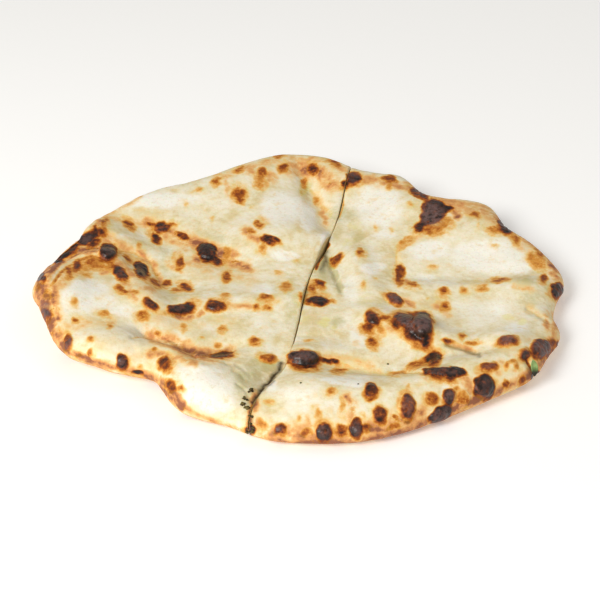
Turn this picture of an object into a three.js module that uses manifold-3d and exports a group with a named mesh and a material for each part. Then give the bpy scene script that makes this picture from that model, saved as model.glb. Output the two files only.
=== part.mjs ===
// A stuffed flatbread baked on a hot oven wall: a wavy, blistered round of dough with a thin
// layer of filling inside, cut through from front to back. The two halves still lie together.
// Millimetres: +X right, +Y back, +Z up. The underside rests on z = 0 about the origin.
import * as THREE from 'three';
import { mergeVertices } from 'three/addons/utils/BufferGeometryUtils.js';
import Module from 'manifold-3d';

const wasm = await Module();
wasm.setup();

// ---- driving dimensions ----

const DOUGH = 9; // thickness of the stuffed dough away from the rim
const THINNEST = 6.6; // thickness left at the bottom of a fold
const EDGE_ROUND = 7.5; // how far in from the rim its rounding reaches
const EQUATOR = 0.45; // height of the rim's widest line, as a share of its thickness
const FOOT = 0.56; // share of the radius that rests flat on the table
const LIFT_CURL = 1.7; // how late towards the rim the underside curls up
const FILLING = 2.6; // thickness of the filling layer
const FILLING_EDGE = 1.2; // thickness at its outer edge
const FILLING_HEIGHT = 3.8; // height of its middle above the underside
const FILLING_REACH = 0.82; // share of the radius that the filling covers
const POCKET_GAP = 0.35; // clearance between the filling and the dough above and below it
const POCKET_EDGE_GAP = 0.5; // the same at the filling's outer edge
const CUT_GAP = 0.9; // width of the cut where the halves lie closest
const CUT_OVERRUN = 2.5; // how far the pocket is carried past the cut to open it
const RINGS = 28; // rings of cells from the middle of the top to its rim
const FILLING_RINGS = 9;

// The outline: [angle in degrees from +X, radius].
const OUTLINE = ringCurve([
  [-178, 109.5], [-170, 111], [-162, 108.5], [-153, 108.5], [-147, 107.5], [-141, 102.5],
  [-135, 97], [-130, 90], [-124, 93.5], [-117, 100], [-105, 101], [-98, 105.5], [-90, 107.5],
  [-75, 109],
  [-60, 107.5], [-48, 109.5], [-38, 114], [-30, 112], [-21, 112], [-15, 107],
  [-9, 107.5], [0, 111.5], [12, 106], [22, 99.5], [34, 103], [42, 91.5], [50, 88],
  [60, 96], [66, 93.5], [75, 94.5], [82, 101], [95, 103.5], [102, 99.5],
  [115, 93.5], [124, 92.5], [133, 95.5], [143, 97.5], [150, 99.5], [156, 98.5], [162, 97.5],
  [169, 98], [176, 105],
]);

// How far the underside of the rim curls up off the table: [angle, height].
const RIM_LIFT = ringCurve([
  [-180, 5], [-165, 6.5], [-152, 4.5], [-140, 4.5], [-128, 1.5], [-112, 0], [-60, 0],
  [-38, 1.5], [-15, 0.5], [5, 2.5], [30, 4.5], [60, 7], [90, 7.5], [115, 6.5], [145, 6.5],
  [163, 11], [172, 9.5],
]);

// How much thicker the puffed rim is than the rest: [angle, height].
const RIM_PUFF = ringCurve([
  [-180, 1], [-150, 2], [-115, 1], [-90, 2], [-60, 3], [-30, 2.5], [0, 1.5], [45, 3],
  [90, 3], [135, 1.5],
]);
const RIM_PUFF_FROM_EDGE = 14; // distance of the puffed rim's crown from the outline
const RIM_PUFF_WIDTH = 11;

// The cut, as [y, x] from the front of the bread to its back.
const CUT_LINE = lineCurve([
  [-100, -18.5], [-88, -15.5], [-74, -8.5], [-60, -4], [-37, -0.5], [-12, 2.5],
  [5, 5.5], [24, 11], [49, 17], [66, 20], [98, 26],
]);
const CUT_FRONT = -100.5; // angles at which the cut meets the outline
const CUT_BACK = 75.2;
// Where the cut gapes: y, length along the cut, extra width.
const CUT_GAPES = [
  { y: 22, length: 7, width: 1.2 },
  { y: -74, length: 13, width: 1.1 },
];

// Air bubbles and hollows of each half: place, half-width and half-depth, turn, height.
const BUMPS = {
  left: [
    { x: -12, y: 60, wide: 27, deep: 34, turn: 10, rise: 4.6 }, // broad back swell
    { x: -3, y: 30, wide: 22, deep: 12, turn: -6, rise: 3.2 }, // its steep front
    { x: -66, y: 62, wide: 24, deep: 12, turn: 35, rise: 2 },
    { x: -39, y: -78, wide: 17, deep: 16, turn: -20, rise: 5.5 }, // front puff
    { x: -9, y: -74, wide: 7, deep: 18, turn: -18, rise: -3 }, // dip towards the cut
    { x: -76, y: -58, wide: 16, deep: 11, turn: 40, rise: 3 },
    { x: -88, y: -20, wide: 15, deep: 15, turn: 0, rise: 2 },
    { x: -47, y: 22, wide: 6, deep: 5, turn: 0, rise: 1.6 }, // blister
  ],
  right: [
    { x: 4, y: -84, wide: 17, deep: 13, turn: 0, rise: 3 },
    { x: 3, y: -58, wide: 12, deep: 6, turn: 0, rise: 3.2 }, // blister at the cut
    { x: 46, y: -46, wide: 10, deep: 7, turn: 0, rise: 3 }, // largest blister
    { x: 80, y: -52, wide: 9, deep: 7, turn: 20, rise: 3 },
    { x: 66, y: 34, wide: 30, deep: 20, turn: -14, rise: 4.6 }, // slope up to the back rim
    { x: 34, y: 56, wide: 13, deep: 15, turn: 0, rise: 1.6 },
    { x: 96, y: -14, wide: 9, deep: 9, turn: 0, rise: 1.5 },
  ],
};

// Long ridges (rise above 0) and creases (below 0) of each half, as paths in plan, with the
// half-width to the left of the path and, where it differs, to its right.
const FOLDS = {
  left: [
    // the side lobe, folded in over the rim, and the hollow behind it
    { path: [[-104, -19], [-98, -5], [-90, 4], [-79, 6], [-68, -6], [-60, -27]], width: 6,
      right: 24, rise: 5 },
    { path: [[-99, 6], [-88, 17], [-74, 17], [-58, 4]], width: 6, rise: -3 },
    { path: [[-60, -25], [-38, -22], [-12, -19], [2, -17]], width: 9, rise: 2.6 },
    { path: [[-83, 46], [-55, 28], [-28, 14]], width: 10, rise: -2.6 },
    { path: [[-62, 14], [-50, -4]], width: 8, rise: -1.6 },
    { path: [[-62, -46], [-50, -50], [-41, -55], [-25, -51]], width: 3.6, rise: -4 },
    { path: [[2, 88], [8, 62], [13, 38]], width: 5, rise: -3.4 },
  ],
  right: [
    { path: [[12, -64], [33, -67], [54, -57], [72, -58]], width: 5, rise: -3.2 },
    { path: [[6, -84], [33, -88], [57, -77], [86, -64]], width: 11, rise: 2.6 },
    { path: [[28, -30], [44, -42], [60, -52]], width: 8, rise: 3.2 },
    { path: [[46, 0], [62, -3], [100, -2]], width: 7, rise: -1.7 },
    { path: [[24, 18], [30, -14]], width: 6, rise: 2.4 },
    { path: [[13, 22], [19, -4]], width: 3.5, rise: -1.6 },
    { path: [[50, -9], [92, -11]], width: 9, rise: 2.2 },
  ],
};

// A scrap of herb leaf caught in the rim.
const LEAF = {
  x: 89, y: -69.2, long: 6.6, wide: 3.2, thick: 0.5, turn: 110, curl: 0.5, pointed: 0.7, gap: 0.35,
};
const LEAF_CELLS = 6;

// ---- curves ----

// A smooth curve through [place, value] pairs; past its ends it keeps the end values.
function lineCurve(pairs) {
  const knot = (i) => pairs[THREE.MathUtils.clamp(i, 0, pairs.length - 1)];
  return (place) => {
    const at = THREE.MathUtils.clamp(place, pairs[0][0], pairs[pairs.length - 1][0]);
    let i = 0;
    while (i < pairs.length - 2 && pairs[i + 1][0] < at) i += 1;
    return hermite(knot(i - 1), knot(i), knot(i + 1), knot(i + 2), at);
  };
}

// The same for a closed curve over 360 degrees.
function ringCurve(pairs) {
  const count = pairs.length;
  const knot = (i) => {
    const turns = Math.floor(i / count);
    const [angle, value] = pairs[i - turns * count];
    return [angle + 360 * turns, value];
  };
  return (angle) => {
    const at = THREE.MathUtils.euclideanModulo(angle - pairs[0][0], 360) + pairs[0][0];
    let i = 0;
    while (i < count - 1 && knot(i + 1)[0] <= at) i += 1;
    return hermite(knot(i - 1), knot(i), knot(i + 1), knot(i + 2), at);
  };
}

function hermite(before, from, to, after, at) {
  const span = to[0] - from[0];
  const t = (at - from[0]) / span;
  const slope = (a, b) => (a[0] === b[0] ? 0 : (b[1] - a[1]) / (b[0] - a[0]));
  const out = slope(before, to) * span;
  const arrive = slope(from, after) * span;
  const t2 = t * t;
  const t3 = t2 * t;
  return (2 * t3 - 3 * t2 + 1) * from[1] + (t3 - 2 * t2 + t) * out
    + (3 * t2 - 2 * t3) * to[1] + (t3 - t2) * arrive;
}

const bell = (x) => Math.exp(-x * x);

// Distance from a path, and how far to its left that lies: 1 left, -1 right, 0 beyond an end.
function besidePath(x, y, path) {
  let nearest = { distance: Infinity, leftness: 0 };
  for (let i = 0; i + 1 < path.length; i += 1) {
    const [ax, ay] = path[i];
    const [bx, by] = path[i + 1];
    const [dx, dy] = [bx - ax, by - ay];
    const length = Math.hypot(dx, dy);
    const along = ((x - ax) * dx + (y - ay) * dy) / length ** 2;
    const t = THREE.MathUtils.clamp(along, 0, 1);
    const distance = Math.hypot(x - ax - t * dx, y - ay - t * dy);
    const left = (dx * (y - ay) - dy * (x - ax)) / length;
    if (distance < nearest.distance) {
      nearest = { distance, leftness: left / Math.max(distance, 1e-6) };
    }
  }
  return nearest;
}

function foldHeight(x, y, { path, width, right = width, rise }) {
  const { distance, leftness } = besidePath(x, y, path);
  return rise * bell(distance / THREE.MathUtils.lerp(right, width, (1 + leftness) / 2));
}

// ---- the dough's two faces ----

function thickness(x, y, side, fromEdge, angle) {
  let thick = DOUGH + RIM_PUFF(angle) * bell((fromEdge - RIM_PUFF_FROM_EDGE) / RIM_PUFF_WIDTH);
  for (const bump of BUMPS[side]) {
    const turn = THREE.MathUtils.degToRad(bump.turn);
    const [dx, dy] = [x - bump.x, y - bump.y];
    const across = (dx * Math.cos(turn) + dy * Math.sin(turn)) / bump.wide;
    const along = (dy * Math.cos(turn) - dx * Math.sin(turn)) / bump.deep;
    thick += bump.rise * bell(Math.hypot(across, along));
  }
  for (const fold of FOLDS[side]) thick += foldHeight(x, y, fold);
  return Math.max(thick, THINNEST);
}

// Heights of the top and the underside at a place in plan, closing in a round at the rim.
function faces(x, y, side) {
  const angle = THREE.MathUtils.radToDeg(Math.atan2(y, x));
  const radius = Math.hypot(x, y);
  const outline = OUTLINE(angle);
  const fromEdge = Math.max(outline - radius, 0);
  const curl = Math.max((radius / outline - FOOT) / (1 - FOOT), 0) ** LIFT_CURL;
  const thick = thickness(x, y, side, fromEdge, angle);
  const middle = Math.max(RIM_LIFT(angle), 0) * Math.min(curl, 1) + EQUATOR * thick;
  const inward = Math.min(fromEdge / EDGE_ROUND, 1);
  const open = Math.sqrt(1 - (1 - inward) ** 2) * thick;
  return { top: middle + (1 - EQUATOR) * open, middle, bottom: middle - EQUATOR * open };
}

// ---- the half-disc of each half, in plan ----

// A grid over a half-disc: i from the cut outwards, j along the cut, and a ring at a time.
// Its angle runs from -90 at the front end of the cut to 90 at the back end.
function gridAngle(i, j) {
  if (i === 0 && j === 0) return 0;
  if (i >= Math.abs(j)) return 45 * (j / i);
  return Math.sign(j) * (90 - 45 * (i / Math.abs(j)));
}

function cutGap(y) {
  return CUT_GAPES.reduce((gap, gape) => gap + gape.width * bell((y - gape.y) / gape.length),
    CUT_GAP);
}

// A place in plan from its share of the radius and its grid angle. The straight edge of the
// half-disc is bent onto the cut and kept `clearance` clear of the middle of the cut.
function planPlace(reachAt, gridDegrees, side, clearance) {
  const share = (gridDegrees + 90) / 180;
  const back = side === 'right' ? CUT_BACK : CUT_BACK - 360;
  const angle = THREE.MathUtils.lerp(CUT_FRONT, back, share);
  const outline = OUTLINE(angle);
  const reach = reachAt(outline);
  const turn = THREE.MathUtils.degToRad(angle);
  const x = outline * reach * Math.cos(turn);
  const y = outline * reach * Math.sin(turn);

  const along = reach * Math.sin(THREE.MathUtils.degToRad(gridDegrees));
  const across = reach * Math.cos(THREE.MathUtils.degToRad(gridDegrees));
  const end = along < 0 ? CUT_FRONT : CUT_BACK;
  const endTurn = THREE.MathUtils.degToRad(end);
  const straight = Math.abs(along) * OUTLINE(end);
  const cutY = straight * Math.sin(endTurn);
  const outward = side === 'right' ? 1 : -1;
  const bend = CUT_LINE(cutY) - straight * Math.cos(endTurn)
    + outward * (cutGap(cutY) / 2 + clearance);
  const width = Math.sqrt(Math.max(1 - along * along, 0));
  const fromCut = width > 1e-6 ? Math.min(across / width, 1) : 0;
  return [x + bend * (1 - fromCut) ** 2, y];
}

// Share of the radius of ring k: even rings inside, then one for each step of the round rim.
function ringReach(k, rings, edgeSteps) {
  const inner = rings - edgeSteps.length + 1;
  return (outline) => (k > inner
    ? 1 - edgeSteps[k - inner] / outline
    : (k / inner) * (1 - edgeSteps[0] / outline));
}

// ---- meshes ----

class Shell {
  constructor(mirrored) {
    this.mirrored = mirrored;
    this.positions = [];
    this.triangles = [];
  }

  point(x, y, z) {
    this.positions.push(x, y, z);
    return this.positions.length / 3 - 1;
  }

  place(index) {
    return new THREE.Vector3().fromArray(this.positions, 3 * index);
  }

  triangle(a, b, c) {
    if (a === b || b === c || c === a) return;
    this.triangles.push(...(this.mirrored ? [a, c, b] : [a, b, c]));
  }

  quad(a, b, c, d) {
    if (this.place(a).distanceTo(this.place(c)) <= this.place(b).distanceTo(this.place(d))) {
      this.triangle(a, b, c);
      this.triangle(a, c, d);
    } else {
      this.triangle(a, b, d);
      this.triangle(b, c, d);
    }
  }

  // A strip between two lines of points that start and end side by side.
  strip(first, second) {
    let [a, b] = [0, 0];
    while (a < first.length - 1 || b < second.length - 1) {
      const nextA = (a + 1) / (first.length - 1);
      const nextB = (b + 1) / (second.length - 1);
      if (nextA <= nextB && a < first.length - 1) {
        this.triangle(first[a], first[a + 1], second[b]);
        a += 1;
      } else {
        this.triangle(first[a], second[b + 1], second[b]);
        b += 1;
      }
    }
  }

  geometry() {
    const geometry = new THREE.BufferGeometry();
    geometry.setAttribute('position', new THREE.Float32BufferAttribute(this.positions, 3));
    geometry.setIndex(this.triangles);
    const merged = mergeVertices(geometry, 1e-4);
    const index = merged.index.array;
    const whole = [];
    for (let t = 0; t < index.length; t += 3) {
      const [a, b, c] = index.slice(t, t + 3);
      if (a !== b && b !== c && c !== a) whole.push(a, b, c);
    }
    merged.setIndex(whole);
    return merged;
  }
}

// The places of ring k, from the front end of the cut round to its back end.
function ringCells(k) {
  const cells = [];
  for (let i = 0; i < k; i += 1) cells.push([i, -k]);
  for (let j = -k; j <= k; j += 1) cells.push([k, j]);
  for (let i = k - 1; i >= 0; i -= 1) cells.push([i, k]);
  return cells;
}

// One sheet of points over the half-disc. `heightAt` gives z for a place in plan.
function sheet(shell, rings, edgeSteps, side, clearance, heightAt) {
  const index = new Map();
  for (let i = 0; i <= rings; i += 1) {
    for (let j = -rings; j <= rings; j += 1) {
      const ring = Math.max(i, Math.abs(j));
      const reachAt = ringReach(ring, rings, edgeSteps);
      const [x, y] = planPlace(reachAt, gridAngle(i, j), side, clearance);
      index.set(`${i},${j}`, shell.point(x, y, heightAt(x, y, ring)));
    }
  }
  return (i, j) => index.get(`${i},${j}`);
}

function cellsOf(rings, visit) {
  for (let i = 0; i < rings; i += 1) {
    for (let j = -rings; j < rings; j += 1) visit(i, j);
  }
}

const TOP_EDGE_STEPS = [7.5, 4.8, 2.3, 0.7, 0];
const UNDER_EDGE_STEPS = [6.5, 1.8];

// The dough of one half: a fine top, a coarser underside and the wall of the cut.
function doughShell(side) {
  const shell = new Shell(side === 'left');
  const top = sheet(shell, RINGS, TOP_EDGE_STEPS, side, 0, (x, y, ring) => {
    const face = faces(x, y, side);
    return ring === RINGS ? face.middle : face.top;
  });
  cellsOf(RINGS, (i, j) => shell.quad(top(i, j), top(i + 1, j), top(i + 1, j + 1), top(i, j + 1)));

  const underRings = RINGS / 2 - 1;
  const under = sheet(shell, underRings, UNDER_EDGE_STEPS, side, 0,
    (x, y) => faces(x, y, side).bottom);
  cellsOf(underRings, (i, j) => {
    shell.quad(under(i, j), under(i, j + 1), under(i + 1, j + 1), under(i + 1, j));
  });

  const rim = ringCells(RINGS).map(([i, j]) => top(i, j));
  const underRim = ringCells(underRings).map(([i, j]) => under(i, j));
  shell.strip(underRim, rim);

  const ends = [top(0, -RINGS), top(0, RINGS)];
  const topCut = [];
  const underCut = [ends[0]];
  for (let j = -RINGS; j <= RINGS; j += 1) topCut.push(top(0, j));
  for (let j = -underRings; j <= underRings; j += 1) underCut.push(under(0, j));
  underCut.push(ends[1]);
  shell.strip(topCut, underCut);
  return shell.geometry();
}

// The filling's layer, thinner towards its outer edge and cut square at the cut. With `grow`
// it is the pocket round it instead, which runs on past the cut so that it opens there.
function layerShell(side, grow) {
  const shell = new Shell(side === 'left');
  const rings = FILLING_RINGS;
  const placeAt = (i, j, sign) => {
    const ring = Math.max(i, Math.abs(j));
    const reachAt = () => FILLING_REACH * (ring / rings);
    const [x, y] = planPlace(reachAt, gridAngle(i, j), side, POCKET_GAP);
    const thin = ring === rings ? FILLING_EDGE : FILLING;
    const z = faces(x, y, side).bottom + FILLING_HEIGHT + sign * (thin / 2 + grow);
    const outward = ring === rings ? POCKET_EDGE_GAP * (grow / POCKET_GAP) : 0;
    const spread = 1 + outward / Math.max(Math.hypot(x, y), 1);
    return new THREE.Vector3(x * spread, y * spread, z);
  };
  const sheetAt = (sign) => {
    const index = new Map();
    for (let i = 0; i <= rings; i += 1) {
      for (let j = -rings; j <= rings; j += 1) {
        const place = placeAt(i, j, sign);
        if (i === 0 && grow > 0) {
          place.add(place.clone().sub(placeAt(1, j, sign)).setLength(CUT_OVERRUN));
        }
        index.set(`${i},${j}`, shell.point(place.x, place.y, place.z));
      }
    }
    return (i, j) => index.get(`${i},${j}`);
  };
  const upper = sheetAt(1);
  const lower = sheetAt(-1);
  cellsOf(rings, (i, j) => {
    shell.triangle(upper(i, j), upper(i + 1, j), upper(i + 1, j + 1));
    shell.triangle(upper(i, j), upper(i + 1, j + 1), upper(i, j + 1));
    shell.triangle(lower(i, j), lower(i + 1, j + 1), lower(i + 1, j));
    shell.triangle(lower(i, j), lower(i, j + 1), lower(i + 1, j + 1));
  });
  const rim = ringCells(rings);
  const cut = [];
  for (let j = -rings; j <= rings; j += 1) cut.push([0, j]);
  shell.strip(rim.map(([i, j]) => lower(i, j)), rim.map(([i, j]) => upper(i, j)));
  shell.strip(cut.map(([i, j]) => upper(i, j)), cut.map(([i, j]) => lower(i, j)));
  return shell.geometry();
}

// A pointed oval leaf scrap of even thickness, curled along its middle.
function leafShell() {
  const shell = new Shell(false);
  const turn = THREE.MathUtils.degToRad(LEAF.turn);
  const surface = faces(LEAF.x, LEAF.y, 'right').top;
  const step = LEAF.wide / 2;
  const slopeX = (faces(LEAF.x - step, LEAF.y, 'right').top - surface) / step;
  const slopeY = (faces(LEAF.x, LEAF.y - step, 'right').top - surface) / step;
  const normal = new THREE.Vector3(slopeX, slopeY, 1).normalize();
  const lie = new THREE.Quaternion().setFromUnitVectors(new THREE.Vector3(0, 0, 1), normal);
  const origin = new THREE.Vector3(LEAF.x, LEAF.y, surface)
    .addScaledVector(normal, LEAF.thick / 2 + LEAF.gap);
  const half = LEAF_CELLS / 2;
  const grid = (z) => {
    const rows = [];
    for (let i = 0; i <= LEAF_CELLS; i += 1) {
      const along = (i - half) / half;
      const width = (LEAF.wide / 2) * Math.cos((along * Math.PI) / 2) ** LEAF.pointed;
      const row = [];
      for (let j = -1; j <= 1; j += 1) {
        const wave = LEAF.curl * j * j * (1 - along * along);
        const local = new THREE.Vector3((along * LEAF.long) / 2, j * width, z + wave);
        local.applyAxisAngle(new THREE.Vector3(0, 0, 1), turn).applyQuaternion(lie).add(origin);
        row.push(shell.point(local.x, local.y, local.z));
      }
      rows.push(row);
    }
    return rows;
  };
  const upper = grid(LEAF.thick / 2);
  const lower = grid(-LEAF.thick / 2);
  for (let i = 0; i < LEAF_CELLS; i += 1) {
    for (let j = 0; j < 2; j += 1) {
      shell.quad(upper[i][j], upper[i + 1][j], upper[i + 1][j + 1], upper[i][j + 1]);
      shell.quad(lower[i][j], lower[i][j + 1], lower[i + 1][j + 1], lower[i + 1][j]);
    }
    shell.quad(lower[i][0], lower[i + 1][0], upper[i + 1][0], upper[i][0]);
    shell.quad(upper[i][2], upper[i + 1][2], lower[i + 1][2], lower[i][2]);
  }
  return shell.geometry();
}

// ---- solids ----

function solid(geometry) {
  return new wasm.Manifold(new wasm.Mesh({
    numProp: 3,
    vertProperties: new Float32Array(geometry.attributes.position.array),
    triVerts: new Uint32Array(geometry.index.array),
  }));
}

function geometryOf(body) {
  const mesh = body.getMesh();
  const geometry = new THREE.BufferGeometry();
  geometry.setAttribute('position', new THREE.Float32BufferAttribute(mesh.vertProperties, 3));
  geometry.setIndex(Array.from(mesh.triVerts));
  return geometry;
}

const doughFinish = new THREE.MeshStandardMaterial({ color: '#eee3c8', roughness: 0.75 });
const fillingFinish = new THREE.MeshStandardMaterial({ color: '#dcc98a', roughness: 0.85 });
const leafFinish = new THREE.MeshStandardMaterial({ color: '#86a552', roughness: 0.6 });

const bread = new THREE.Group();

function addPiece(name, geometry, finish) {
  geometry.computeVertexNormals();
  const piece = new THREE.Mesh(geometry, finish);
  piece.name = name;
  bread.add(piece);
}

for (const side of ['left', 'right']) {
  const dough = solid(doughShell(side)).subtract(solid(layerShell(side, POCKET_GAP)));
  addPiece(`${side}_half`, geometryOf(dough), doughFinish);
  addPiece(`filling_${side}`, layerShell(side, 0), fillingFinish);
}
addPiece('herb_leaf', leafShell(), leafFinish);

// The origin is the middle of the bread's box, on the table.
const box = new THREE.Box3().setFromObject(bread);
const middle = box.getCenter(new THREE.Vector3());
bread.position.set(-middle.x, -middle.y, -box.min.z);

export default bread;
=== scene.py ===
# The looks of a stuffed tandoori paratha that is cut in two: pale dough with oven blisters.
# Metres, +Z up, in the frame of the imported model. The front of the bread faces -Y.
import math

import bmesh
import bpy
import numpy as np
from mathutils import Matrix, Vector, noise
from mathutils.bvhtree import BVHTree
from mathutils.kdtree import KDTree


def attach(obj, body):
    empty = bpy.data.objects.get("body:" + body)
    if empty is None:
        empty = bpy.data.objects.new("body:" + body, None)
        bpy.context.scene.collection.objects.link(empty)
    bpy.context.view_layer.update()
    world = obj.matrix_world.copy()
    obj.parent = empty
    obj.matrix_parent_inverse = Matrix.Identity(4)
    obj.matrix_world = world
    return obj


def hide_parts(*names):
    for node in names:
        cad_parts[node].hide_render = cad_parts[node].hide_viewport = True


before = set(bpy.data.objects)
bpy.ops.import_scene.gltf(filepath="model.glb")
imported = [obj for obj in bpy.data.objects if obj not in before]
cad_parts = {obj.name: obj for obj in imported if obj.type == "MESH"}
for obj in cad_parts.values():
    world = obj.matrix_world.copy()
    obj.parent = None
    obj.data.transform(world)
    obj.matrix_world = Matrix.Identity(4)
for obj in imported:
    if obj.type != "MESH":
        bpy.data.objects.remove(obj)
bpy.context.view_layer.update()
MM = 0.001

NOISE_SEED = 1
noise.seed_set(NOISE_SEED)  # noise_vector would differ from run to run without it

# ---- the photograph's view ----

VIEW_SIZE = 600  # pixels
CAMERA_ELEVATION = math.radians(32)
CAMERA_DISTANCE = 0.62
CAMERA_TARGET = Vector((-0.4 * MM, -12 * MM, 6.4 * MM))
CAMERA_LENS = 90
CAMERA_SENSOR = 36
VIEW_BACK = Vector((0, math.cos(CAMERA_ELEVATION), -math.sin(CAMERA_ELEVATION)))
VIEW_UP = Vector((0, math.sin(CAMERA_ELEVATION), math.cos(CAMERA_ELEVATION)))
CAMERA_PLACE = CAMERA_TARGET - VIEW_BACK * CAMERA_DISTANCE
FOCAL = VIEW_SIZE * CAMERA_LENS / CAMERA_SENSOR


def photo_places(points):
    """Where points of the bread are in the photograph, in pixels from its top left corner."""
    away = points - np.array(CAMERA_PLACE)
    depth = away @ np.array(VIEW_BACK)
    across = VIEW_SIZE / 2 + FOCAL * away[:, 0] / depth
    down = VIEW_SIZE / 2 - FOCAL * (away @ np.array(VIEW_UP)) / depth
    return np.stack([across, down], axis=1)


def photo_ray(x, y):
    """The direction from the camera to a pixel of the photograph."""
    across = (x - VIEW_SIZE / 2) / FOCAL
    up = (VIEW_SIZE / 2 - y) / FOCAL
    return (VIEW_BACK + Vector((1, 0, 0)) * across + VIEW_UP * up).normalized()


# ---- what the oven did, and painted light and shade: all places and sizes in pixels of the photograph ----

# Scorched spots: x, y, width, height, turn in degrees clockwise, heat from 0.14 (a tinge of tan)
# to 1 (black).
SPOTS_BACK_LEFT = [
    (216, 181, 12, 9, -20, .55), (197, 189.5, 14, 5, -15, .34), (186, 205, 6, 6, 0, .26),
    (212, 219, 6, 8, 0, .26), (129.5, 224, 16, 9, 25, .66), (104, 221, 11, 7, -35, .52),
    (162, 227, 15, 10, 10, .88), (151, 224, 10, 5, 0, .74), (172, 225, 10, 5, 0, .52),
    (156, 238, 13, 9, 40, .8), (140, 246, 8, 8, 0, .42), (182, 235, 17, 6, 25, .84),
    (207, 251, 20, 17, 25, 1), (216, 261, 15, 7, 25, .8), (227, 253, 12, 18, 0, .46),
    (180, 262, 9, 14, 0, .68), (226.5, 276, 10, 11, 20, .64), (141, 269, 17, 11, 50, 1),
    (120, 273, 19, 11, 45, .9), (108.5, 251, 18, 16, 0, 1), (128, 258, 13, 6, 45, .62),
    (86, 239, 20, 10, -25, .86), (94, 243, 17, 7, -28, .76), (98, 233, 19, 10, -15, .72),
    (105, 226, 17, 9, -30, .3), (69, 249.5, 21, 11, -35, 1), (60, 255, 19, 12, -45, 1),
    (52, 264, 12, 7, -50, .35), (97, 262, 30, 15, -5, .46), (111, 264, 12, 18, 0, .42),
    (77, 265, 14, 11, -50, .72), (69, 272, 9, 13, 0, .62), (41, 277, 9, 10, 0, .95),
    (88, 275, 13, 6, 0, .38), (122, 290, 18, 8, 25, .58), (135, 292, 10, 6, 0, .42),
    (166.5, 283, 10, 7, 0, .64), (186, 287, 15, 7, 15, .7), (176, 290, 14, 5, 0, .5),
    (155, 283, 18, 6, 35, .62), (238.5, 193, 16, 14, 0, .58), (241, 199, 9, 8, 0, .6),
    (262, 172, 12, 10, 0, .64), (261, 183, 19, 13, 20, .38), (239, 169, 13, 7, -25, .54),
    (283, 167, 13, 9, -25, .64), (279, 156, 16, 4, 0, .5), (259, 224, 11, 7, 20, .56),
    (250, 232, 10, 6, 15, .5), (270, 239.5, 21, 8, 15, .82), (263, 247, 10, 10, 0, .46),
    (297, 260, 12, 5, 0, .3), (278, 272, 10, 5, 0, .36), (286.5, 286, 16, 11, 0, .45),
    (225, 295, 12, 6, 0, .36), (304, 183, 8, 19, 10, .42), (317, 200, 8, 10, 0, .42),
    (313, 168.5, 13, 11, 0, .76), (252, 207, 8, 5, 0, .25),
]
SPOTS_FRONT_LEFT = [
    (74.5, 302, 9, 12, -40, .36), (47, 296, 16, 22, 0, .4), (46, 316, 12, 22, -15, .62),
    (47, 312.5, 12, 6, 20, .8), (38, 288, 6, 12, 0, .5), (76.5, 320, 10, 7, 0, .5),
    (105, 314, 16, 8, 10, .4), (143, 315, 14, 12, 0, .54), (150.5, 303.5, 16, 8, 35, .9),
    (180.5, 309, 28, 11, -5, .92), (190, 306, 12, 9, 0, .74), (215.5, 305.5, 20, 11, 0, .86),
    (184, 327, 10, 9, 30, .38), (222.5, 329, 11, 9, 0, .45), (67.5, 343, 10, 18, 15, .78),
    (90, 339, 8, 6, 0, .5), (90, 353, 6, 12, 20, .54), (78.5, 356, 11, 7, 0, .44),
    (122, 361, 11, 16, 0, .92), (137, 372.5, 15, 5, 10, .9), (165, 363.5, 15, 15, 45, .74),
    (170, 385, 11, 17, -30, .7), (180, 388, 9, 8, 0, .56), (109, 325, 7, 7, 0, .4),
    (157.5, 333.5, 8, 6, 0, .5), (154, 350, 9, 6, 0, .44), (217.5, 345.5, 7, 6, 0, .46),
    (202, 338, 9, 4, 0, .32), (221, 354.5, 24, 7, -6, .92), (266, 297, 18, 8, 0, .54),
    (257, 307, 9, 7, 0, .55), (267.5, 307, 9, 6, 0, .5), (300, 297, 7, 13, -20, .44),
    (254, 340, 12, 10, 0, .6), (268, 358, 21, 10, 10, .6), (140, 367, 9, 8, 0, .36),
    (250, 429.5, 9, 9, 0, .94), (232, 420, 10, 5, 20, .14),
]
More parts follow.
